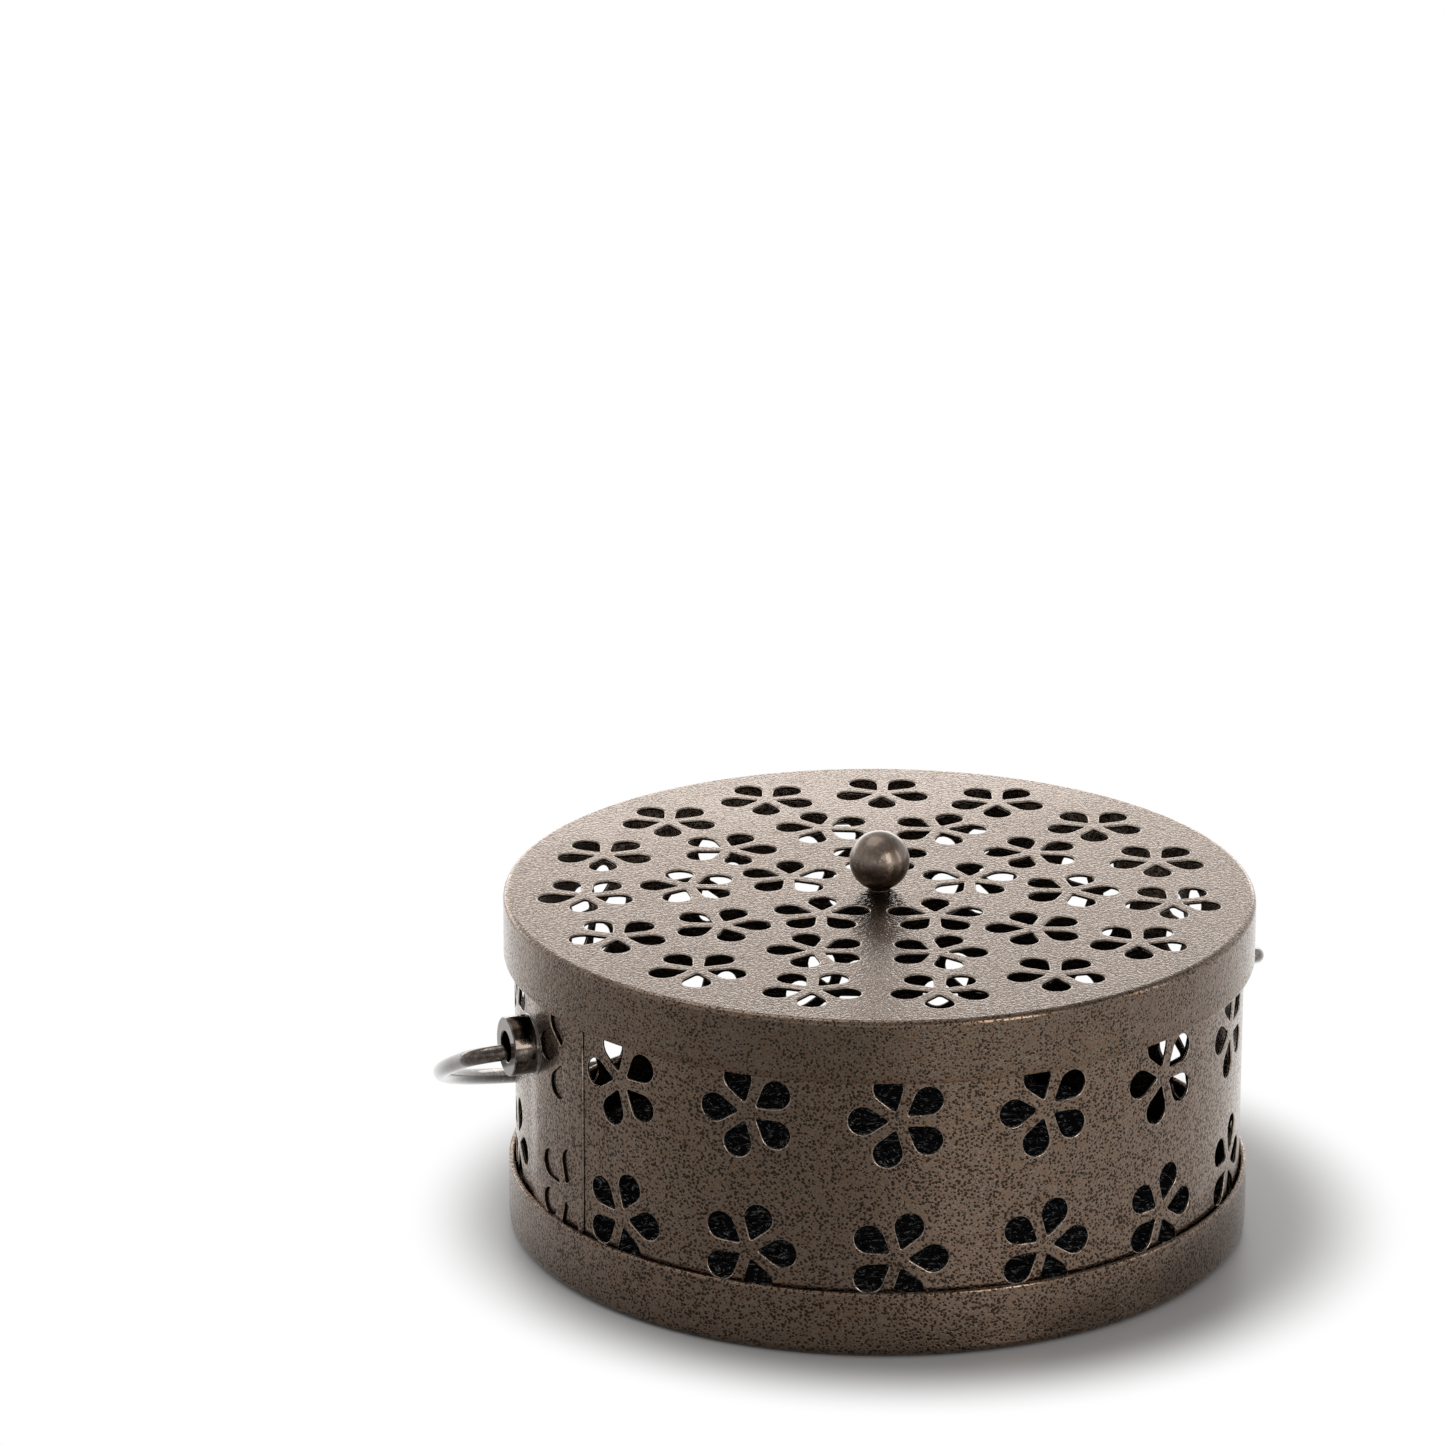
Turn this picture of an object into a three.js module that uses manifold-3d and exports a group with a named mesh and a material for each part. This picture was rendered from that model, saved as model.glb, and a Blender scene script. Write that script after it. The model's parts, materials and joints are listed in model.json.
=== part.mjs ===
// Incense coil burner of painted sheet steel: a base pan, a pierced wall, a pierced lid and a wire bail.
// Millimetres, +Z up. The origin is the centre of the base's underside and the bail turns about X.
// At rest the lid is on and the bail lies folded down behind, on the +Y side.

import * as THREE from 'three';
import { mergeVertices } from 'three/addons/utils/BufferGeometryUtils.js';
import Module from 'manifold-3d';

const wasm = await Module();
wasm.setup();

// Body wall: a pierced strip rolled into a ring, its ends lapped and welded
const WALL_DIAMETER = 145.8;
const WALL_HEIGHT = 66.3;
const WALL_SHEET = 0.6;
const LAP_LENGTH = 17;
const LAP_BLEND_LENGTH = 8;
const SEAM_ANGLE_DEG = -163;

// Flower punched in wall and lid: five drop-shaped petals round a point
const PETAL_COUNT = 5;
const PETAL_TIP_REACH = 2.3;
const PETAL_BULB_REACH = 6.9;
const PETAL_BULB_RADIUS = 2.75;

// Flowers in the wall: two rows, the last pair of each lying blind on the lap
const WALL_FLOWER_PITCH = 29.37;
const WALL_FLOWERS_PER_ROW = 15;
const FIRST_FLOWER_ANGLE_DEG = -154.4;
const LOWER_ROW_HEIGHT = 20;
const UPPER_ROW_DROP = 20;
const LOWER_ROW_PETAL_DEG = 0;
const UPPER_ROW_PETAL_DEG = 180;

// Base pan
const PAN_DEPTH = 13.5;
const PAN_SHEET = 0.6;
const PAN_CORNER_RADIUS = 2;

// Lid shell
const LID_SHEET = 0.7;
const LID_SKIRT_DEPTH = 12.6;
const LID_SLIP = 0.8;
const LID_EDGE_RADIUS = 1.2;

// Flowers in the lid: three rings round the knob
const OUTER_RING_RADIUS = 58.6;
const OUTER_RING_FLOWERS = 15;
const MIDDLE_RING_RADIUS = 38;
const MIDDLE_RING_FLOWERS = 10;
const INNER_RING_RADIUS = 19;
const INNER_RING_FLOWERS = 5;
const LID_PATTERN_ANGLE_DEG = 68.05;

// Knob with its screw and washer
const KNOB_DIAMETER = 12;
const KNOB_FOOT_DIAMETER = 4.6;
const KNOB_FOOT_HEIGHT = 0.3;
const SCREW_DIAMETER = 3;
const SCREW_GRIP = 5.5;
const SCREW_HEAD_DIAMETER = 5.6;
const SCREW_HEAD_HEIGHT = 1.9;
const WASHER_DIAMETER = 8;
const WASHER_THICKNESS = 0.8;

// Pivot bushes
const BUSH_DIAMETER = 11.8;
const BUSH_BORE = 6.2;
const BUSH_PROJECTION = 5.1;
const BUSH_CHAMFER = 0.5;
const BUSH_LID_CLEARANCE = 4.2;
const WELD_WIDTH = 0.8;
const WELD_LENGTH = 0.9;

// Bail
const WIRE_DIAMETER = 3.3;
const BAIL_BEND_RADIUS = 6;
const BAIL_LEG_LENGTH = 7;
const BAIL_SIDE_PLAY = 0.4;
const WIRE_END_GAP = 0.8;

// Fibre mat
const MAT_THICKNESS = 5;
const MAT_EDGE_RADIUS = 1.5;
const MAT_PLAY = 1.3;

// Clearances
const SEAT_GAP = 0.3;
const SCREW_PLAY = 0.2;
const CUT_OVERRUN = 1;

// Facets of round forms
const RING_FACETS = 54;
const SMALL_FACETS = 20;
const BUSH_FACETS = 24;
const PETAL_FACETS = 4;
const CORNER_FACETS = 2;
const BALL_FACETS = 8;
const WIRE_SIDES = 8;
const BEND_FACETS = 6;
const ARCH_FACETS = 48;

// Radii worked out from the wall outwards
const wallOuter = WALL_DIAMETER / 2;
const wallInner = wallOuter - WALL_SHEET;
const lapOuter = wallOuter + WALL_SHEET;
const panInner = lapOuter + SEAT_GAP;
const panOuter = panInner + PAN_SHEET;
const lidInner = lapOuter + LID_SLIP;
const lidOuter = lidInner + LID_SHEET;
const matRadius = wallInner - MAT_PLAY;
const bushEnd = lapOuter + BUSH_PROJECTION;
const screwHole = SCREW_DIAMETER / 2 + SCREW_PLAY;

// Heights worked out from the table upwards
const floorTop = PAN_SHEET;
const wallBase = PAN_CORNER_RADIUS;
const wallTop = wallBase + WALL_HEIGHT;
const lidTop = wallTop + SEAT_GAP + LID_SHEET;
const upperRowHeight = wallTop - UPPER_ROW_DROP;
const bushTop = lidTop - LID_SKIRT_DEPTH - BUSH_LID_CLEARANCE;
const bushHeight = bushTop - WELD_WIDTH - BUSH_DIAMETER / 2;

// Bail: the wire's ends hang at the bottom of the bores, and its top lies on the table behind
const wireRadius = WIRE_DIAMETER / 2;
const bailPivotHeight = bushHeight - BUSH_BORE / 2 + wireRadius + SEAT_GAP;
const bailHalfWidth = bushEnd + BAIL_SIDE_PLAY + BAIL_BEND_RADIUS;
const bailReach = BAIL_BEND_RADIUS + BAIL_LEG_LENGTH + bailHalfWidth;
const bailFold = Math.asin((bailPivotHeight - wireRadius - SEAT_GAP) / bailReach);

// Finishes
const hammertone = new THREE.MeshStandardMaterial({ color: 0x77695c, roughness: 0.35, metalness: 0.6 });
const paleHammertone = new THREE.MeshStandardMaterial({ color: 0x8a7a6f, roughness: 0.4, metalness: 0.5 });
const darkBronze = new THREE.MeshStandardMaterial({ color: 0x4a4037, roughness: 0.3, metalness: 0.7 });
const steel = new THREE.MeshStandardMaterial({ color: 0xb4b4b2, roughness: 0.35, metalness: 0.9 });
const glassFibre = new THREE.MeshStandardMaterial({ color: 0x8d8c88, roughness: 0.9, metalness: 0 });

const radians = THREE.MathUtils.degToRad;
const point = (x, y) => new THREE.Vector2(x, y);

// Closed solid of a three.js geometry, for joining and cutting
function solidOf(geometry) {
  const bare = geometry.clone();
  bare.deleteAttribute('normal');
  bare.deleteAttribute('uv');
  const merged = mergeVertices(bare);
  const vertProperties = merged.attributes.position.array;
  const triVerts = Uint32Array.from(merged.index.array);
  return new wasm.Manifold(new wasm.Mesh({ numProp: 3, vertProperties, triVerts }));
}

// Geometry of a closed solid
function geometryOf(solid) {
  const { vertProperties, triVerts } = solid.getMesh();
  const geometry = new THREE.BufferGeometry();
  geometry.setAttribute('position', new THREE.BufferAttribute(vertProperties, 3));
  geometry.setIndex(new THREE.BufferAttribute(triVerts, 1));
  geometry.computeVertexNormals();
  return geometry;
}

function part(name, geometry, material) {
  const mesh = new THREE.Mesh(geometry, material);
  mesh.name = name;
  return mesh;
}

// Round stretch of an outline, from one angle to another about a centre
function arc(centre, radius, fromDeg, toDeg, facets) {
  const points = [];
  for (let i = 0; i <= facets; i += 1) {
    const angle = radians(fromDeg + ((toDeg - fromDeg) * i) / facets);
    points.push(point(centre.x + radius * Math.cos(angle), centre.y + radius * Math.sin(angle)));
  }
  return points;
}

// Body turned about Z from a profile of radius and height that starts and ends on the axis
function turned(profile, facets) {
  return new THREE.LatheGeometry(profile, facets).rotateX(Math.PI / 2);
}

// Ring turned about Z from a profile that closes on itself
function turnedRing(profile, facets) {
  return turned([...profile, profile[0].clone()], facets);
}

// One petal, its length along X and its round end centred on the origin
function petalShape() {
  const tip = PETAL_TIP_REACH - PETAL_BULB_REACH;
  const tangentDeg = 180 - THREE.MathUtils.radToDeg(Math.acos(-PETAL_BULB_RADIUS / tip));
  const roundEnd = arc(point(0, 0), PETAL_BULB_RADIUS, -tangentDeg, tangentDeg, PETAL_FACETS);
  return new THREE.Shape([point(tip, 0), ...roundEnd]);
}

// Punch for one petal, turned in its own plane and as deep as asked, rising along Z from zero
function petalPunch(petalAngle, depth) {
  return new THREE.ExtrudeGeometry(petalShape(), { depth, bevelEnabled: false }).rotateZ(petalAngle);
}

const petalAngles = Array.from({ length: PETAL_COUNT }, (_, i) => (2 * Math.PI * i) / PETAL_COUNT);

// Turn from the seam's edge, measured backwards round the wall, to an angle of the wall
const lapTurn = LAP_LENGTH / wallOuter;
const blendTurn = LAP_BLEND_LENGTH / wallOuter;
const seamAngle = radians(SEAM_ANGLE_DEG);

// How far the strip stands out from the plain ring where it climbs onto its own other end
function lapRise(turn) {
  if (turn <= lapTurn) {
    return WALL_SHEET;
  }
  return WALL_SHEET * (1 - THREE.MathUtils.smoothstep(turn, lapTurn, lapTurn + blendTurn));
}

// Stations round the wall, with one on each end of the lap and three in the blend behind it
function wallTurns(from) {
  const keys = [lapTurn, lapTurn + blendTurn / 4, lapTurn + blendTurn / 2];
  keys.push(lapTurn + (blendTurn * 3) / 4, lapTurn + blendTurn);
  const spacing = (2 * Math.PI) / RING_FACETS;
  const even = Array.from({ length: RING_FACETS }, (_, i) => i * spacing);
  const free = even.filter((turn) => keys.every((key) => Math.abs(turn - key) > spacing / 4));
  const all = [...free, ...keys].filter((turn) => turn > from);
  const wrapped = [...free, ...keys].filter((turn) => turn < from).map((turn) => turn + 2 * Math.PI);
  return [from, ...all.sort((a, b) => a - b), ...wrapped.sort((a, b) => a - b), from + 2 * Math.PI];
}

const onWall = (turn, radius) => {
  const angle = seamAngle - turn;
  return point(radius * Math.cos(angle), radius * Math.sin(angle));
};

// Plan of the wall's outside: the strip's outer end is a step at the seam
function wallOutline(offset) {
  const turns = wallTurns(0);
  const last = turns.length - 1;
  const points = turns.map((turn, i) => onWall(turn, wallOuter + offset + (i === last ? 0 : lapRise(turn))));
  return points.reverse();
}

// Plan of the wall's inside: the strip's inner end is a step at the far side of the lap
function wallInside() {
  const turns = wallTurns(lapTurn);
  return turns.map((turn, i) => {
    const pastBlend = i > 0 && turn > lapTurn + blendTurn;
    return onWall(turn, wallInner + (pastBlend ? 0 : lapRise(turn)));
  });
}

// Punches for one flower of the wall, each petal square to the wall where it lies
function wallFlower(flowerAngle, height, firstPetalDeg, fromRadius) {
  const punches = [];
  for (const petalAngle of petalAngles) {
    const direction = petalAngle + radians(firstPetalDeg);
    const angle = flowerAngle + (PETAL_BULB_REACH * Math.cos(direction)) / wallOuter;
    const petalHeight = height + PETAL_BULB_REACH * Math.sin(direction);
    const punch = petalPunch(direction, lapOuter + CUT_OVERRUN - fromRadius);
    punch.translate(0, 0, fromRadius);
    punch.rotateX(Math.PI / 2);
    punch.rotateZ(angle + Math.PI / 2);
    punch.translate(0, 0, petalHeight);
    punches.push(solidOf(punch));
  }
  return punches;
}

function wallPunches() {
  const punches = [];
  const rows = [[LOWER_ROW_HEIGHT, LOWER_ROW_PETAL_DEG], [upperRowHeight, UPPER_ROW_PETAL_DEG]];
  for (const [height, petalDeg] of rows) {
    for (let i = 0; i <= WALL_FLOWERS_PER_ROW; i += 1) {
      const angle = radians(FIRST_FLOWER_ANGLE_DEG) + (i * WALL_FLOWER_PITCH) / wallOuter;
      const blind = i === WALL_FLOWERS_PER_ROW;
      const fromRadius = blind ? wallOuter : wallInner - CUT_OVERRUN;
      punches.push(...wallFlower(angle, height, petalDeg, fromRadius));
    }
  }
  return wasm.Manifold.union(punches);
}

function bodyWall() {
  const shape = new THREE.Shape(wallOutline(0));
  shape.holes.push(new THREE.Path(wallInside()));
  const ring = new THREE.ExtrudeGeometry(shape, { depth: WALL_HEIGHT, bevelEnabled: false });
  ring.translate(0, 0, wallBase);
  return part('body_wall', geometryOf(solidOf(ring).subtract(wallPunches())), hammertone);
}

function basePan() {
  const lip = PAN_SHEET / 2;
  const cornerRadius = PAN_CORNER_RADIUS;
  const corner = point(panOuter - cornerRadius, cornerRadius);
  const profile = [
    point(0, 0),
    ...arc(corner, cornerRadius, -90, 0, CORNER_FACETS),
    ...arc(point(panOuter - lip, PAN_DEPTH - lip), lip, 0, 180, CORNER_FACETS),
    ...arc(corner, cornerRadius - PAN_SHEET, 0, -90, CORNER_FACETS),
    point(0, floorTop),
  ];
  return part('base_pan', turned(profile, RING_FACETS), hammertone);
}

// Punches for one ring of flowers; each has a petal pointing outwards, or all point the same way
function ringOfFlowers(count, radius, startDeg, fixedPetalDeg) {
  const punches = [];
  for (let i = 0; i < count; i += 1) {
    const angle = radians(startDeg) + (2 * Math.PI * i) / count;
    const firstPetal = fixedPetalDeg === null ? angle : radians(fixedPetalDeg);
    for (const petalAngle of petalAngles) {
      const direction = firstPetal + petalAngle;
      const punch = petalPunch(direction, LID_SHEET + 2 * CUT_OVERRUN);
      const x = radius * Math.cos(angle) + PETAL_BULB_REACH * Math.cos(direction);
      const y = radius * Math.sin(angle) + PETAL_BULB_REACH * Math.sin(direction);
      punches.push(solidOf(punch.translate(x, y, -LID_SHEET - CUT_OVERRUN)));
    }
  }
  return punches;
}

function lidPunches() {
  const start = LID_PATTERN_ANGLE_DEG;
  return wasm.Manifold.union([
    ...ringOfFlowers(OUTER_RING_FLOWERS, OUTER_RING_RADIUS, start, start + 180),
    ...ringOfFlowers(MIDDLE_RING_FLOWERS, MIDDLE_RING_RADIUS, start + 180 / MIDDLE_RING_FLOWERS, null),
    ...ringOfFlowers(INNER_RING_FLOWERS, INNER_RING_RADIUS, start, null),
  ]);
}

// The lid's own zero height is its top face
function lidShell() {
  const lip = LID_SHEET / 2;
  const edge = LID_EDGE_RADIUS;
  const corner = point(lidOuter - edge, -edge);
  const profile = [
    point(screwHole, -LID_SHEET),
    ...arc(corner, edge - LID_SHEET, 90, 0, CORNER_FACETS),
    ...arc(point(lidOuter - lip, lip - LID_SKIRT_DEPTH), lip, 180, 360, CORNER_FACETS),
    ...arc(corner, edge, 0, 90, CORNER_FACETS),
    point(screwHole, 0),
  ];
  const shell = solidOf(turnedRing(profile, RING_FACETS));
  return part('lid_shell', geometryOf(shell.subtract(lidPunches())), paleHammertone);
}

function lidKnob() {
  const radius = KNOB_DIAMETER / 2;
  const foot = KNOB_FOOT_DIAMETER / 2;
  const footAngle = -THREE.MathUtils.radToDeg(Math.acos(foot / radius));
  const centre = KNOB_FOOT_HEIGHT + Math.sqrt(radius ** 2 - foot ** 2);
  const boreDepth = SCREW_GRIP + SEAT_GAP;
  const ball = arc(point(0, centre), radius, footAngle, 90, BALL_FACETS);
  ball[ball.length - 1].x = 0;
  const profile = [point(0, boreDepth), point(screwHole, boreDepth), point(screwHole, 0), point(foot, 0), ...ball];
  return part('lid_knob', turned(profile, SMALL_FACETS), darkBronze);
}

function knobWasher() {
  const top = -LID_SHEET;
  const bottom = top - WASHER_THICKNESS;
  const rim = WASHER_DIAMETER / 2;
  const profile = [point(screwHole, bottom), point(rim, bottom), point(rim, top), point(screwHole, top)];
  return part('knob_washer', turnedRing(profile, SMALL_FACETS), steel);
}

function knobScrew() {
  const headTop = -LID_SHEET - WASHER_THICKNESS;
  const headBottom = headTop - SCREW_HEAD_HEIGHT;
  const head = SCREW_HEAD_DIAMETER / 2;
  const shank = SCREW_DIAMETER / 2;
  const round = SCREW_HEAD_HEIGHT / 2;
  const dome = arc(point(head - round, headBottom + round), round, -90, 0, CORNER_FACETS);
  const profile = [
    point(0, headBottom),
    ...dome,
    point(head, headTop),
    point(shank, headTop),
    point(shank, SCREW_GRIP),
    point(0, SCREW_GRIP),
  ];
  return part('knob_screw', turned(profile, SMALL_FACETS), steel);
}

// Bush with its weld ring, its inner end cut to the wall's curve; side is 1 for +X and -1 for -X
function pivotBush(name, side) {
  const outer = BUSH_DIAMETER / 2;
  const bore = BUSH_BORE / 2;
  const start = wallInner - WALL_SHEET;
  const weldEnd = lapOuter + WELD_LENGTH;
  const profile = [
    point(bore, start),
    point(outer + WELD_WIDTH, start),
    point(outer + WELD_WIDTH, weldEnd - WELD_WIDTH),
    point(outer, weldEnd),
    point(outer, bushEnd - BUSH_CHAMFER),
    point(outer - BUSH_CHAMFER, bushEnd),
    point(bore + BUSH_CHAMFER, bushEnd),
    point(bore, bushEnd - BUSH_CHAMFER),
  ];
  const tube = turnedRing(profile, BUSH_FACETS).rotateY((side * Math.PI) / 2);
  tube.translate(0, 0, bushHeight);
  const settings = { depth: WALL_HEIGHT, bevelEnabled: false };
  const wallSpace = new THREE.ExtrudeGeometry(new THREE.Shape(wallOutline(SEAT_GAP)), settings);
  wallSpace.translate(0, 0, wallBase);
  return part(name, geometryOf(solidOf(tube).subtract(solidOf(wallSpace))), darkBronze);
}

// Line of the bail's wire in its own plane, upright, with the pivot as zero: stations with their directions
class BailLine extends THREE.Curve {
  constructor() {
    super();
    this.stations = [];
    const side = bailHalfWidth;
    const archHeight = BAIL_BEND_RADIUS + BAIL_LEG_LENGTH;
    const bendCentre = side - BAIL_BEND_RADIUS;
    this.addStation(lapOuter + WIRE_END_GAP, 0, 0);
    this.addArc(bendCentre, BAIL_BEND_RADIUS, BAIL_BEND_RADIUS, -90, 0, BEND_FACETS);
    this.addArc(0, archHeight, side, 0, 180, ARCH_FACETS);
    this.addArc(-bendCentre, BAIL_BEND_RADIUS, BAIL_BEND_RADIUS, 180, 270, BEND_FACETS);
    this.addStation(-lapOuter - WIRE_END_GAP, 0, 360);
  }

  addStation(x, height, headingDeg) {
    const heading = radians(headingDeg);
    const tangent = new THREE.Vector3(Math.cos(heading), 0, Math.sin(heading));
    this.stations.push({ place: new THREE.Vector3(x, 0, height), tangent });
  }

  addArc(x, height, radius, fromDeg, toDeg, facets) {
    const places = arc(point(x, height), radius, fromDeg, toDeg, facets);
    places.forEach((place, i) => {
      this.addStation(place.x, place.y, fromDeg + 90 + ((toDeg - fromDeg) * i) / facets);
    });
  }

  station(share) {
    return this.stations[Math.round(share * (this.stations.length - 1))];
  }

  getPointAt(share) {
    return this.station(share).place.clone();
  }

  getTangentAt(share) {
    return this.station(share).tangent.clone();
  }
}

function bailHandle() {
  const line = new BailLine();
  const section = new THREE.Shape(arc(point(0, 0), wireRadius, 0, 360, WIRE_SIDES).slice(1));
  const wire = new THREE.ExtrudeGeometry(section, { extrudePath: line, steps: line.stations.length - 1 });
  const bail = part('bail_handle', wire, darkBronze);
  bail.position.z = bailPivotHeight;
  bail.rotation.x = -Math.PI / 2 - bailFold;
  return bail;
}

// Round woven pad, plain here: a disc with soft edges on the pan's floor
function fibreMat() {
  const edge = MAT_EDGE_RADIUS;
  const bottom = floorTop + SEAT_GAP;
  const top = bottom + MAT_THICKNESS;
  const profile = [
    point(0, bottom),
    ...arc(point(matRadius - edge, bottom + edge), edge, -90, 0, CORNER_FACETS),
    ...arc(point(matRadius - edge, top - edge), edge, 0, 90, CORNER_FACETS),
    point(0, top),
  ];
  return part('fibre_mat', turned(profile, RING_FACETS), glassFibre);
}

const lid = new THREE.Group();
lid.position.z = lidTop;
lid.add(lidShell(), lidKnob(), knobWasher(), knobScrew());

const burner = new THREE.Group();
burner.add(basePan(), bodyWall(), fibreMat(), pivotBush('left_bush', -1), pivotBush('right_bush', 1));
burner.add(lid, bailHandle());

export default burner;
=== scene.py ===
"""Looks of an incense coil burner: painted sheet steel pierced with flowers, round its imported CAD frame."""

import json
import math

import bmesh
import bpy
from mathutils import Matrix, Vector, noise
from mathutils.geometry import delaunay_2d_cdt


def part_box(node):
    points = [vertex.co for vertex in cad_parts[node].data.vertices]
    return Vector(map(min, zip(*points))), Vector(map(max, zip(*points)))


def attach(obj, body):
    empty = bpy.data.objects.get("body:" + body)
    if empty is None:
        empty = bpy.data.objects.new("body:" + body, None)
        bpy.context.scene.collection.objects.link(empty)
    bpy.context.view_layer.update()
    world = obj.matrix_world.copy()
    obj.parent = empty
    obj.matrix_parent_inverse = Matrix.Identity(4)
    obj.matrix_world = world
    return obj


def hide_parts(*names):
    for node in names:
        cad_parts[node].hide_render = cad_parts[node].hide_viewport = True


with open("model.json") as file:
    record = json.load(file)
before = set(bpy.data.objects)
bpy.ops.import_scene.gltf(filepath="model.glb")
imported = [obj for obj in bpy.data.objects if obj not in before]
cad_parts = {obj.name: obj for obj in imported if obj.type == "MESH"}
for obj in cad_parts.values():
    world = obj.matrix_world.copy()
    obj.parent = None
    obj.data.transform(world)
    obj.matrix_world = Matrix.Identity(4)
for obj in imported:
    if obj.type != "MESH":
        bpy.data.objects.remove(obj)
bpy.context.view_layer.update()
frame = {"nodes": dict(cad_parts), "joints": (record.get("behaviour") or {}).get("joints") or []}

bl_info = {
    "name": "Incense coil burner",
    "version": (1, 0, 0),
    "blender": (4, 5, 0),
    "location": "3D View > Sidebar > Burner",
    "description": "Builds the pierced sheet-metal burner, its finishes and its studio",
    "category": "Add Mesh",
}

MM = 0.001
TURN = 2 * math.pi

PAN_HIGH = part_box("base_pan")[1]
WALL_LOW, WALL_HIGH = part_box("body_wall")
LID_LOW, LID_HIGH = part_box("lid_shell")
KNOB_LOW, KNOB_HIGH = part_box("lid_knob")
WASHER_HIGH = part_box("knob_washer")[1]
BUSH_LOW, BUSH_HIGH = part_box("right_bush")
BAIL_LOW, BAIL_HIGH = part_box("bail_handle")
MAT_LOW, MAT_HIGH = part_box("fibre_mat")
LAP_RISE = 0.6 * MM
BAIL_PIVOT = next(Vector(j["pos_m"]) for j in frame["joints"] if j["name"] == "bail_swing")

# Steps round the large turned pieces and round the small ones
ROUND_STEPS = 240
FITTING_STEPS = 64
# A station nearer to the axis than this, in metres, is one point on it
ON_AXIS = 1e-7
# Points of a flat plan nearer to each other than this, in millimetres, are one
PLAN_TOLERANCE = 1e-5
MAT_COATS = ("roving_across", "roving_along", "felt")
LAMP_WHITE = (1.0, 0.965, 0.93)
# Floor grey near the burner, against plain white further off: painted shadow round the burner's foot, added
# to the cast shadow
FLOOR_GREY = 0.38
SENSOR_MM = 36


# Sizes and finishes that a user would change


def setting(kind, name, description, default, **more):
    return kind(name=name, description=description, default=default, **more)


def length(name, description, default):
    return setting(bpy.props.FloatProperty, name, description, default, unit="LENGTH", precision=5)


def angle(name, description, degrees):
    return setting(bpy.props.FloatProperty, name, description, math.radians(degrees), unit="ROTATION")


def share(name, description, default):
    return setting(bpy.props.FloatProperty, name, description, default, subtype="FACTOR", min=0, max=1)


def power(name, description, default):
    return setting(bpy.props.FloatProperty, name, description, default, unit="POWER")


def count(name, description, default):
    return setting(bpy.props.IntProperty, name, description, default, min=1)


def colour(name, description, default):
    return setting(bpy.props.FloatVectorProperty, name, description, default, subtype="COLOR")


def spot(name, description, default):
    return setting(bpy.props.FloatVectorProperty, name, description, default, subtype="XYZ", unit="LENGTH")


def direction(name, description, default):
    return setting(bpy.props.FloatVectorProperty, name, description, default, subtype="DIRECTION")


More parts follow.
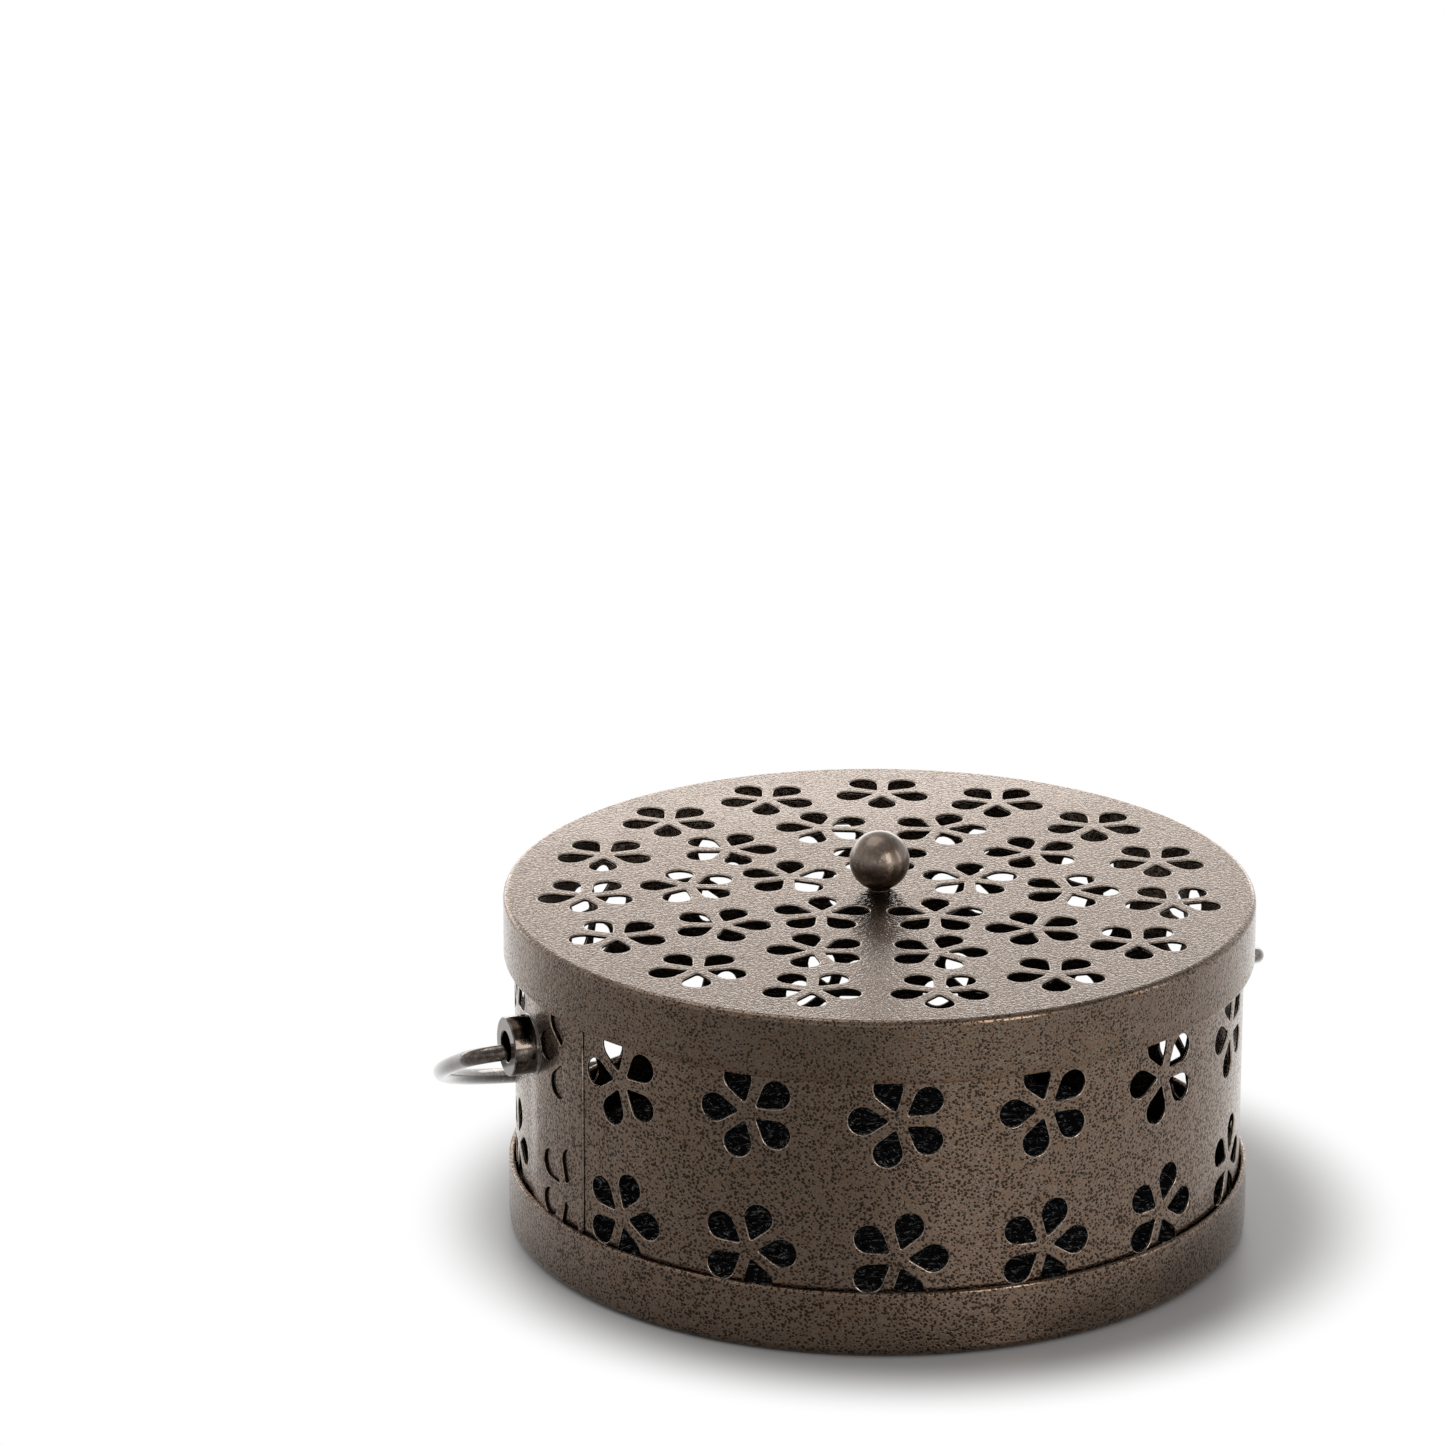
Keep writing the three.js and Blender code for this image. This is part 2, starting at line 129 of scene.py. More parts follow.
class BurnerSizes(bpy.types.PropertyGroup):
    """Sizes of the sheet, its flowers and its fittings"""

    sheet: length("Wall sheet", "Thickness of the wall's strip", 0.57 * MM)
    lid_sheet: length("Lid sheet", "Thickness of the lid", LID_HIGH.z - WASHER_HIGH.z)
    pan_sheet: length("Pan sheet", "Thickness of the base pan", 0.6 * MM)
    pan_gap: length("Pan gap", "Gap between the pan's lip and the plain wall", 0.3 * MM)
    edge: length("Cut edge", "Radius of the coated edge round each cut in the wall", 0.26 * MM)
    lid_edge: length("Lid cut edge", "Radius of the coated edge round each cut in the lid", 0.3 * MM)
    roll: length("Die roll", "Width over which the face dips towards a cut", 0.2 * MM)
    face_dip: length("Face dip", "Depth of the dip in the middle of the die roll", 0.004 * MM)
    pan_corner: length("Pan corner", "Outside radius of the pan's bottom edge", WALL_LOW.z)
    lid_corner: length("Lid corner", "Outside radius of the lid's top edge", 1.2 * MM)
    grid: length("Grid", "Spacing of the fine surface's points", 2.4 * MM)
    petal_tip: length("Petal tip reach", "From a flower's centre to a petal's inner tip", 2.2 * MM)
    petal_tip_round: length("Petal tip radius", "Radius of a petal's inner tip", 0.42 * MM)
    petal_bulb: length("Petal bulb reach", "From a flower's centre to that of a petal's round end", 6.95 * MM)
    petal_radius: length("Petal radius", "Radius of a petal's round end", 2.83 * MM)
    wall_pitch: length("Wall pitch", "Distance between flowers along the wall", 29.37 * MM)
    wall_flowers: count("Wall flowers", "Flowers in each row, with the blind one on the lap", 16)
    first_flower: angle("First flower", "Direction of the first flower beside the seam", -154.4)
    lower_row: length("Lower row", "Height of the lower row of flowers", 20 * MM)
    upper_row: length("Upper row", "Height of the upper row of flowers", 48.3 * MM)
    seam: angle("Seam", "Direction of the strip's outer end", -163)
    lap: length("Lap", "Overlap of the strip's two ends", 17 * MM)
    lap_blend: length("Lap blend", "Length over which the strip climbs onto the lap", 8 * MM)
    lap_end: length("Lap end", "Length over which the strip's outer end is pressed down", 1.0 * MM)
    outer_ring: length("Outer ring", "Radius of the lid's outer ring of flowers", 58.6 * MM)
    outer_flowers: count("Outer flowers", "Flowers in the lid's outer ring", 15)
    middle_ring: length("Middle ring", "Radius of the lid's middle ring of flowers", 38 * MM)
    middle_flowers: count("Middle flowers", "Flowers in the lid's middle ring", 10)
    inner_ring: length("Inner ring", "Radius of the lid's inner ring of flowers", 19 * MM)
    inner_flowers: count("Inner flowers", "Flowers in the lid's inner ring", 5)
    lid_turn: angle("Lid turn", "Direction of the lid's first outer flower", 68.05)
    screw_hole: length("Screw hole", "Radius of the hole in the middle of the lid", 1.7 * MM)
    knob: length("Knob", "Radius of the knob's ball", 6 * MM)
    knob_foot: length("Knob foot", "Radius of the flat on which the knob stands", 2.3 * MM)
    wire: length("Wire", "Radius of the bail's wire", 1.65 * MM)
    wire_gap: length("Wire gap", "Gap between the end of the wire and the lapped wall", 0.8 * MM)
    bail_bend: length("Bail bend", "Radius of the bends where the bail enters its bushes", 6 * MM)
    bush_bore: length("Bush bore", "Radius of a bush's bore", 3.1 * MM)
    bush_radius: length("Bush radius", "Outside radius of a bush", 5.9 * MM)
    bush_chamfer: length("Bush edge", "Radius of the edges at a bush's outer end", 0.3 * MM)
    weld: length("Weld", "Width of the weld bead round a bush's foot", 0.45 * MM)
    weld_height: length("Weld height", "Height of the weld bead below its hollow", 0.7 * MM)
    mat_edge: length("Mat edge", "Radius of the pad's edges, and its rim outside the weave", 1.2 * MM)
    roving: length("Roving", "Width of one flat bundle of glass fibre", 5.1 * MM)
    roving_gap: length("Roving gap", "Gap between neighbouring bundles", 0.5 * MM)
    roving_thickness: length("Roving thickness", "Thickness of one bundle", 0.9 * MM)


class BurnerFinish(bpy.types.PropertyGroup):
    """Colours of the coats and of the mat"""

    paint: colour("Paint", "Light ground of the hammertone coat", (0.122, 0.085, 0.060))
    lid_paint: colour("Lid paint", "Ground of the smoother coat on the lid", (0.108, 0.076, 0.054))
    # These dark specks also fill the inside of each cut as painted shade
    speckle_and_cut_shade: colour("Speckle", "Dark specks of the hammertone coat", (0.017, 0.010, 0.005))
    bronze: colour("Bronze", "Coat of knob, bushes and bail", (0.095, 0.070, 0.054))
    # On the cut edges this pale colour is abraded coat and also a painted highlight
    worn_and_highlight: colour("Worn edge", "Coat where it thins on an edge", (0.62, 0.55, 0.46))
    zinc: colour("Zinc", "Plating of the screw and washer", (0.55, 0.55, 0.53))
    fibre: colour("Fibre", "Glass-fibre bundles", (0.30, 0.31, 0.33))
    # Near black: painted shade in the gaps between the woven bundles
    pad: colour("Pad", "Felt under the woven bundles", (0.004, 0.004, 0.004))
    speck_size: length("Speck size", "Distance between the specks of the coat", 0.62 * MM)


class StudioSettings(bpy.types.PropertyGroup):
    """Camera, lamps and floor"""

    camera_place: spot("Camera place", "Where the camera stands", (-0.4472, -1.1354, 0.5077))
    camera_tilt: angle("Camera tilt", "Camera's tilt from looking straight down", 71.69)
    camera_heading: angle("Camera heading", "Camera's turn about the vertical", -20.03)
    lens: setting(bpy.props.FloatProperty, "Lens", "Focal length in millimetres", 161.9, unit="CAMERA")
    bright_side: direction("Bright side", "Where the room's brightest light comes from", (-0.55, 0.7, 0.45))
    dim_light: share("Dim light", "Strength of the room's light opposite the bright side", 0.25)
    bright_light: share("Bright light", "Strength of the room's light on the bright side", 0.8)
    shadow_reach: length("Shadow reach", "Distance within which the floor is only shaded", 0.0758)
    shadow_centre: spot("Shadow centre", "Middle of the shaded floor", (0.0056, -0.0021, 0))
    white_from: length("White from", "Distance from which the floor is plain white to sight", 0.102)
    dim_side: direction("Dim side", "Side of the floor that shines dimmest in the metal", (-0.69, -0.72, 0))
    dim_share: share("Dim share", "How much dimmer the floor shines on its dim side", 0.48)
    grey_side: direction("Grey side", "Side of the floor that shines a little dimmer there", (-0.98, 0.17, 0))
    grey_share: share("Grey share", "How much dimmer the floor shines on its grey side", 0.3)
    back_power: power("Back power", "Power of the lamp behind", 1.85)
    top_power: power("Top power", "Power of the lamp overhead", 3)
    side_power: power("Side power", "Power of the lamp at the side", 1.5)
    front_power: power("Front power", "Power of the lamp in front", 5.5)


# Fine sheet metal: a flat plan with rounded holes, given its thickness and bent to its form


def edge_rows(thickness, edge, roll, dip, dip_turn=5, edge_turn=16, steps=3):
    """Rows round a cut as (offset from the cut, depth, angle of the normal), from the front face to the back.

    Over the die roll the face dips and leans by dip_turn, and the rounded edge starts at edge_turn.
    """
    rows = [(edge + roll, 0, 0), (edge + roll / 2, dip, math.radians(dip_turn))]
    for start, end, base in ((edge_turn, 90, 0), (90, 180, thickness - 2 * edge)):
        for i in range(steps + 1):
            turn = math.radians(start + (end - start) * i / steps)
            rows.append((edge * (1 - math.sin(turn)), base + edge * (1 - math.cos(turn)), turn))
    rows.append((edge + roll, thickness, math.pi))
    return rows


def petal_loop(centre, heading, sizes, bulb_steps=14, tip_steps=4):
    """A function that gives a petal's outline, grown by its argument."""
    reach = sizes.petal_bulb - sizes.petal_tip - sizes.petal_tip_round
    lean = math.acos(-(sizes.petal_radius - sizes.petal_tip_round) / reach)
    along = Vector((math.cos(heading), math.sin(heading)))
    across = Vector((-along.y, along.x))
    bulb = centre + along * sizes.petal_bulb
    tip = bulb - along * reach

    def outline(grow):
        points = []
        for middle, radius, start, end, steps in (
            (bulb, sizes.petal_radius + grow, -lean, lean, bulb_steps),
            (tip, sizes.petal_tip_round + grow, lean, TURN - lean, tip_steps),
        ):
            for i in range(steps + 1):
                turn = start + (end - start) * i / steps
                points.append(middle + (along * math.cos(turn) + across * math.sin(turn)) * radius)
        sides = [(points[bulb_steps], points[bulb_steps + 1]), (points[-1], points[0])]
        points.insert(bulb_steps + 1, (sides[0][0] + sides[0][1]) / 2)
        points.append((sides[1][0] + sides[1][1]) / 2)
        return points

    outline.near = (bulb, tip, sizes.petal_radius, sizes.petal_tip_round)
    return outline


def flower_loops(centre, first_petal, sizes, mirror=1):
    """Outlines of a flower's five petals, the first of them in the given direction."""
    turns = [first_petal + TURN * i / 5 for i in range(5)]
    return [petal_loop(centre, math.atan2(math.sin(t), mirror * math.cos(t)), sizes) for t in turns]


def circle_loop(radius, steps, outward):
    """A circle about the origin, grown by the function's argument if outward is 1 and shrunk if it is -1."""
    turns = [TURN * i / steps for i in range(steps)]

    def outline(grow):
        reach = radius + outward * grow
        return [Vector((reach * math.cos(turn), reach * math.sin(turn))) for turn in turns]

    return outline


def rectangle_loop(width, low, high, spacing):
    """The strip's outline, shrunk by the function's argument, with a point every so often."""

    def outline(shrink):
        x0, x1, y0, y1 = shrink, width - shrink, low + shrink, high - shrink
        corners = [Vector((x0, y0)), Vector((x1, y0)), Vector((x1, y1)), Vector((x0, y1))]
        across, up = round(width / spacing), round((high - low) / spacing)
        points = []
        for corner, following, steps in zip(corners, corners[1:] + corners[:1], (across, up, across, up)):
            points.extend(corner.lerp(following, i / steps) for i in range(steps))
        return points

    return outline


def clear_of_petals(points, loops, gap):
    """The points that lie at least a gap away from every petal."""
    cell = 12 * MM
    buckets = {}
    for loop in loops:
        bulb, tip, bulb_radius, tip_radius = loop.near
        reach = (bulb_radius + gap, tip_radius + gap)
        for dx in (-1, 0, 1):
            for dy in (-1, 0, 1):
                key = (math.floor(bulb.x / cell) + dx, math.floor(bulb.y / cell) + dy)
                buckets.setdefault(key, []).append((bulb, tip, reach))
    kept = []
    for p in points:
        near = buckets.get((math.floor(p.x / cell), math.floor(p.y / cell)), ())
        if all(outside_petal(p, *petal) for petal in near):
            kept.append(p)
    return kept


def outside_petal(p, bulb, tip, reach):
    """Whether a point lies outside a petal that reaches so far round its two middles."""
    line = tip - bulb
    along = max(0.0, min(1.0, (p - bulb).dot(line) / line.length_squared))
    return (p - bulb - line * along).length > reach[0] + (reach[1] - reach[0]) * along


def pierced_sheet(name, border, holes, inner, thickness, edge, place, border_wear_and_painted_light=1.0):
    """A closed sheet from its flat plan; place gives a plan point's position and outward normal."""
    sizes = bpy.context.scene.burner_sizes
    rows = edge_rows(thickness, edge, sizes.roll, sizes.face_dip)
    loops = [border, *holes]
    flat, owner, edges = [], [], []
    for number, loop in enumerate(loops):
        points = loop(edge + sizes.roll)
        first = len(flat)
        flat.extend(points)
        owner.extend([number] * len(points))
        edges.extend((first + i, first + (i + 1) % len(points)) for i in range(len(points)))
    flat.extend(inner)
    owner.extend([None] * len(inner))
    scaled = [p / MM for p in flat]
    _, _, triangles, origins, _, _ = delaunay_2d_cdt(scaled, edges, [], 0, PLAN_TOLERANCE)
    if any(not o for o in origins):
        raise ValueError(f"{name}: outlines cross")
    source = [o[0] for o in origins]
    verts, normals, cuts = [], [], []
    front, back = {}, {}
    faces = []

    def add(position, normal, cut):
        verts.append(position)
        normals.append(normal)
        cuts.append(cut)
        return len(verts) - 1

    first = 0
    for loop in loops:
        # How strong this outline's cut-edge marks are: abraded coat with painted highlight, and painted shade
        # inside the cut
        wear_and_painted_light = border_wear_and_painted_light if loop is border else 1.0
        outlines = {}
        grid = []
        for offset, depth, turn in rows:
            key = round(offset / MM, 6)
            if key not in outlines:
                outlines[key] = [[place(p) for p in loop(grow)] for grow in (offset, offset - edge / 4)]
            here, nearer = outlines[key]
            line = []
            for (position, normal), (ahead, _) in zip(here, nearer):
                towards = (ahead - position).normalized()
                facing = (normal * math.cos(turn) + towards * math.sin(turn)).normalized()
                line.append(add(position - normal * depth, facing, wear_and_painted_light * math.sin(turn)))
            grid.append(line)
        for above, below in zip(grid, grid[1:]):
            for i in range(len(above)):
                j = (i + 1) % len(above)
                faces.append((above[i], below[i], below[j], above[j]))
        for i in range(len(grid[0])):
            front[first + i] = grid[0][i]
            back[first + i] = grid[-1][i]
        first += len(grid[0])
    for i, p in enumerate(inner):
        position, normal = place(p)
        front[first + i] = add(position, normal, 0)
        back[first + i] = add(position - normal * thickness, -normal, 0)
    for triangle in triangles:
        a, b, c = (source[corner] for corner in triangle)
        in_a_hole = owner[a] is not None and owner[a] > 0 and owner[a] == owner[b] == owner[c]
        if in_a_hole:
            continue
        faces.append((front[a], front[b], front[c]))
        faces.append((back[c], back[b], back[a]))
    return finished_mesh(name, verts, faces, normals, cuts)


def finished_mesh(name, verts, faces, normals=None, cuts=None):
    """An object of one mesh, its faces pointing out and smooth, with its own normals and cut-edge marks for
    the abraded coat, painted highlight and painted shade.
    """
    mesh = bpy.data.meshes.new(name)
    mesh.from_pydata([tuple(v) for v in verts], [], faces)
    mesh.validate()
    turn_outwards(mesh)
    mesh.shade_smooth()
    if cuts is not None:
        wear_and_painted_light = mesh.attributes.new("cut_edge", "FLOAT", "POINT")
        wear_and_painted_light.data.foreach_set("value", cuts)
    if normals is not None:
        mesh.normals_split_custom_set_from_vertices([tuple(n) for n in normals])
    piece = bpy.data.objects.new(name, mesh)
    bpy.context.scene.collection.objects.link(piece)
    return piece


def turn_outwards(mesh):
    """Turns the faces of a closed mesh to point out of it."""
    work = bmesh.new()
    work.from_mesh(mesh)
    bmesh.ops.recalc_face_normals(work, faces=work.faces)
    work.to_mesh(mesh)
    work.free()


def hex_grid(low, high, spacing):
    """Points of a triangular grid inside a box."""
    points = []
    rise = spacing * math.sqrt(3) / 2
    for j in range(round((high.y - low.y) / rise) + 1):
        start = low.x + (spacing / 2 if j % 2 else 0)
        for i in range(round((high.x - start) / spacing) + 1):
            points.append(Vector((start + i * spacing, low.y + j * rise)))
    return points


# Turned pieces


def round_stations(centre, radius, start, end, steps, bulge=1):
    """Stations of a profile's arc as (radius, height, normal out, normal up); bulge is -1 for a hollow."""
    stations = []
    for i in range(steps + 1):
        turn = math.radians(start + (end - start) * i / steps)
        c, s = math.cos(turn), math.sin(turn)
        stations.append((centre[0] + radius * c, centre[1] + radius * s, bulge * c, bulge * s))
    return stations


def turned(name, stations, steps, closed=False):
    """A body turned about Z from stations; one that isn't closed starts and ends on the axis."""
    verts, normals, faces, lines = [], [], [], []
    for radius, height, out, up in stations:
        single = not closed and radius < ON_AXIS
        line = []
        for i in range(1 if single else steps):
            turn = TURN * i / steps
            line.append(len(verts))
            verts.append(Vector((radius * math.cos(turn), radius * math.sin(turn), height)))
            normals.append(Vector((out * math.cos(turn), out * math.sin(turn), up)))
        lines.append(line)
    following = lines[1:] + ([lines[0]] if closed else [])
    for a, b in zip(lines, following):
        for i in range(steps):
            j = (i + 1) % steps
            corners = [a[i % len(a)], a[j % len(a)], b[j % len(b)], b[i % len(b)]]
            faces.append(list(dict.fromkeys(corners)))
    return finished_mesh(name, verts, faces, normals)


# Node materials


class Nodes:
    """Short hand for building the nodes of a material or a world."""

    def __init__(self, owner, shader="Principled BSDF"):
        owner.use_nodes = True
        self.owner = owner
        self.tree = owner.node_tree
        self.shader = self.tree.nodes[shader]

    def feed(self, socket, value):
        if isinstance(value, bpy.types.NodeSocket):
            self.tree.links.new(value, socket)
        else:
            socket.default_value = value

    def add(self, kind, inputs=(), **settings):
        node = self.tree.nodes.new(kind)
        for key, value in settings.items():
            setattr(node, key, value)
        for key, value in dict(inputs).items():
            self.feed(node.inputs[key], value)
        return node

    def set(self, **values):
        for key, value in values.items():
            self.feed(self.shader.inputs[key.replace("_", " ")], value)

    def math(self, operation, a, b):
        return self.add("ShaderNodeMath", {0: a, 1: b}, operation=operation).outputs[0]

    def plus(self, a, b):
        return self.math("ADD", a, b)

    def minus(self, a, b):
        return self.math("SUBTRACT", a, b)

    def times(self, a, b):
        return self.math("MULTIPLY", a, b)

    def vector(self, operation, vector, other, output=0):
        key = "Scale" if operation == "SCALE" else 1
        return self.add("ShaderNodeVectorMath", {0: vector, key: other}, operation=operation).outputs[output]

    def ramp(self, value, low, high, start=0.0, end=1.0, smooth=True):
        """From start, where the value is low, to end, where it is high."""
        inputs = {"Value": value, "From Min": low, "From Max": high, "To Min": start, "To Max": end}
        kind = "SMOOTHSTEP" if smooth else "LINEAR"
        return self.add("ShaderNodeMapRange", inputs, interpolation_type=kind).outputs["Result"]

    def mix(self, factor, a, b):
        return self.add("ShaderNodeMix", {0: factor, 6: a, 7: b}, data_type="RGBA").outputs[2]

    def place(self):
        """Position on the piece in millimetres."""
        return self.vector("SCALE", self.add("ShaderNodeTexCoord").outputs["Object"], 1 / MM)

    def noise(self, vector, size_mm, detail=2.0, roughness=0.5, output="Fac"):
        inputs = {"Vector": vector, "Scale": 1 / size_mm, "Detail": detail, "Roughness": roughness}
        return self.add("ShaderNodeTexNoise", inputs).outputs[output]

    def bump(self, height, strength, depth_mm):
        inputs = {"Strength": strength, "Distance": depth_mm * MM, "Height": height}
        return self.add("ShaderNodeBump", inputs).outputs[0]


def tone(paint, *parts):
    """A paint's colour for a node, with each channel scaled by its part."""
    return (*(channel * part for channel, part in zip(paint, parts or (1.0, 1.0, 1.0))), 1.0)


def shade(paint, part):
    """A paint's colour for a node, lighter or darker."""
    return tone(paint, part, part, part)


def hammertone(name, ground, dark, worn_and_highlight, speck_mm, spread, wave, hem_mm=None):
    """Glossy coat with a net of dark specks, each a shallow dimple, on slow waves; its cut edges are paler in
    abraded patches, which is also a painted highlight, and dark inside as painted shade.

    A hem, the height of a lower edge in millimetres, takes a warm dark band where the coat runs thin.
    """
    patch_mm, run_mm, wave_mm, rub_and_highlight_mm, tint_mm, peel_mm, grain_mm = 6.0, 5.0, 2.6, 2.5, 1.7, 0.7, 0.3
    n = Nodes(bpy.data.materials.new(name))
    place = n.place()
    # Dark specks: uneven cells, drawn out of their places, and more of them in some patches
    drift = n.vector("SCALE", n.noise(place, 1.1 * speck_mm, 1, output="Color"), 0.7 * speck_mm)
    moved = n.vector("ADD", place, drift)
    cells = n.add("ShaderNodeTexVoronoi", {"Vector": moved, "Scale": 1 / speck_mm, "Randomness": 1.0})
    chance = n.add("ShaderNodeSeparateColor", {0: cells.outputs["Color"]}).outputs[0]
    size = n.plus(n.times(chance, 0.26), n.times(n.noise(place, patch_mm, 3), 0.3))
    edge = n.minus(cells.outputs["Distance"], n.plus(size, spread))
    speck = n.minus(1.0, n.ramp(edge, -0.03, 0.09))
    # Ground between them: fine grain and slow changes of tint
    grain = n.ramp(n.noise(place, grain_mm, 3, 0.6), 0.3, 0.7)
    body = n.mix(grain, shade(ground, 0.65), shade(ground, 1.6))
    body = n.mix(n.ramp(n.noise(place, tint_mm, 2), 0.4, 0.75), body, tone(ground, 1.1, 0.96, 0.84))
    if hem_mm is not None:
        height = n.add("ShaderNodeSeparateXYZ", {0: place}).outputs["Z"]
        height = n.plus(height, n.noise(place, run_mm, 2))
        band = n.minus(1.0, n.ramp(height, hem_mm + 0.7, hem_mm + 2.6))
        body = n.mix(n.times(band, 0.6), body, tone(ground, 0.95, 0.7, 0.5))
    base = n.mix(n.times(speck, 0.9), body, tone(dark))
    # Cut edges: paler in abraded patches on the rounding, which is also a painted highlight, and painted
    # shade inside the cut
    cut = n.add("ShaderNodeAttribute", attribute_name="cut_edge").outputs["Fac"]
    rubbed_and_highlight = n.times(n.ramp(cut, 0.2, 0.5), n.ramp(n.noise(place, rub_and_highlight_mm, 2), 0.3, 0.55))
    base = n.mix(n.times(rubbed_and_highlight, 0.35), base, tone(worn_and_highlight))
    base = n.mix(n.ramp(cut, 0.75, 0.95), base, tone(dark))
    # Relief: dimples on slow waves, and an orange peel in the gloss on top
    surface = n.plus(n.times(n.noise(place, peel_mm, 2), 0.9), n.times(n.noise(place, wave_mm, 2), wave))
    relief = n.plus(n.times(speck, -0.9), surface)
    dips = n.ramp(n.noise(place, peel_mm, 0), 0.3, 0.5)
    peel = n.plus(n.times(dips, 1.8), n.times(speck, -0.5))
    n.set(Base_Color=base, Metallic=1.0, Roughness=0.2, Specular_Tint=(1.0, 0.92, 0.86, 1))
    n.set(Normal=n.bump(relief, 0.5, 0.06), Coat_Normal=n.bump(peel, 0.6, 0.07))
    n.set(Coat_Weight=n.minus(0.8, n.times(speck, 0.6)), Coat_Roughness=0.05, Coat_IOR=1.34)
    return n.owner


def bronze_coat(name, ground, worn_and_highlight, roughness, mottling):
    """Dark glossy coat on the small fittings, mottled, and abraded paler in patches."""
    n = Nodes(bpy.data.materials.new(name))
    place = n.place()
    mottle = n.noise(place, 1.1, 4, 0.6)
    base = n.mix(n.ramp(mottle, 0.38, 0.62), shade(ground, 1 - mottling), tone(ground))
    rub = n.times(n.ramp(n.noise(place, 2.2, 3, 0.6), 0.56, 0.72), n.ramp(n.noise(place, 0.35, 2), 0.4, 0.65))
    base = n.mix(n.times(rub, 0.5), base, tone(worn_and_highlight))
    height = n.plus(mottle, n.times(n.noise(place, 0.4, 2), 0.5))
    rough = n.plus(roughness, n.times(n.ramp(mottle, 0.2, 0.9, smooth=False), 0.12))
    n.set(Base_Color=base, Metallic=1.0, Roughness=rough, Normal=n.bump(height, 0.3, 0.03))
    n.set(Coat_Weight=0.7, Coat_Roughness=0.04, Coat_IOR=1.5)
    return n.owner


def zinc_plate(name, ground):
    """Pale plating with fine turning marks."""
    n = Nodes(bpy.data.materials.new(name))
    place = n.place()
    stain = n.noise(place, 1.6, 3)
    base = n.mix(n.ramp(stain, 0.35, 0.7), tone(ground), shade(ground, 0.7))
    rough = n.plus(0.25, n.times(stain, 0.2))
    n.set(Base_Color=base, Metallic=1.0, Roughness=rough, Normal=n.bump(n.noise(place, 0.15, 2), 0.15, 0.03))
    return n.owner


def glass_roving(name, ground, along_x):
    """Flat bundle of glass fibre: silky filaments along its length, with slack bright strands."""
    drawn_out = 0.16
    n = Nodes(bpy.data.materials.new(name))
    place = n.place()
    lines = n.vector("MULTIPLY", place, (drawn_out, 1.0, 1.0) if along_x else (1.0, drawn_out, 1.0))
    strands = n.noise(lines, 0.32, 3, 0.7)
    clumps = n.noise(place, 1.7, 2, 0.6)
    bright = n.times(n.ramp(strands, 0.52, 0.66), n.ramp(clumps, 0.48, 0.62))
    base = n.mix(bright, shade(ground, 0.03), tone(ground))
    height = n.plus(strands, n.times(clumps, 0.8))
    n.set(Base_Color=base, Roughness=0.35, Specular_IOR_Level=n.times(bright, 0.5))
    n.set(Normal=n.bump(height, 0.7, 0.2))
    return n.owner


def felt(name, ground):
    """Matted pad, near black as painted shade in the gaps between the woven bundles."""
    n = Nodes(bpy.data.materials.new(name))
    tangle = n.noise(n.place(), 0.6, 4, 0.7)
    base = n.mix(n.ramp(tangle, 0.3, 0.7), shade(ground, 0.5), shade(ground, 1.6))
    n.set(Base_Color=base, Roughness=0.9, Normal=n.bump(tangle, 0.8, 0.4))
    return n.owner


def coats():
    """The finishes, each made once."""
    finish = bpy.context.scene.burner_finish
    speck_mm, marks = finish.speck_size / MM, (finish.speckle_and_cut_shade, finish.worn_and_highlight)
    makers = {
        "hammertone": (hammertone, finish.paint, *marks, speck_mm, 0.11, 1.4),
        "fine_hammertone": (hammertone, finish.lid_paint, *marks, 0.9 * speck_mm, 0.07, 0.4, LID_LOW.z / MM),
        "dark_bronze": (bronze_coat, finish.bronze, finish.worn_and_highlight, 0.09, 0.6),
        # The knob's bronze is a lighter copy: painted light standing in for the lid's bright reflection in
        # the ball
        "knob_bronze": (bronze_coat, [1.6 * channel for channel in finish.bronze], finish.worn_and_highlight, 0.3, 0.25),
        "plated_steel": (zinc_plate, finish.zinc),
        "roving_across": (glass_roving, finish.fibre, True),
        "roving_along": (glass_roving, finish.fibre, False),
        "felt": (felt, finish.pad),
    }
    finishes = {}
    for coat, (make, *values) in makers.items():
        name = f"{coat}_finish"
        finishes[coat] = bpy.data.materials.get(name) or make(name, *values)
    return finishes


def dress(piece, coat, body, slot, *nodes):
    """Gives a piece its finish, its body and the nodes that it stands for."""
    if not piece.data.materials:
        piece.data.materials.append(coats()[coat])
    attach(piece, body)
    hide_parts(*nodes)


# Operators, one for each piece


class BURNER_OT_base_pan(bpy.types.Operator):
    """Pan with a round bottom edge and a rounded lip"""

    bl_idname = "burner.base_pan"
    bl_label = "Base pan"

    def execute(self, context):
        sizes = context.scene.burner_sizes
        outer, depth, sheet, corner = PAN_HIGH.y, PAN_HIGH.z, sizes.pan_sheet, sizes.pan_corner
        lip = (outer - WALL_HIGH.y - sizes.pan_gap) / 2
        centre = (outer - corner, corner)
        outer_steps, inner_steps = 8, 6
        stations = [(0, 0, 0, -1)]
        stations += round_stations(centre, corner, -90, 0, outer_steps)
        stations += round_stations((outer - lip, depth - lip), lip, 0, 180, outer_steps)
        stations += [(outer - 2 * lip, depth - 2 * lip, -1, 0), (outer - sheet, depth - 3 * lip, -1, 0)]
        stations += round_stations(centre, corner - sheet, 0, -90, inner_steps, bulge=-1)
        stations += [(0, sheet, 0, 1)]
        piece = turned("base_pan_fine", stations, ROUND_STEPS)
        dress(piece, "hammertone", "body", "hammertone", "base_pan")
        return {"FINISHED"}


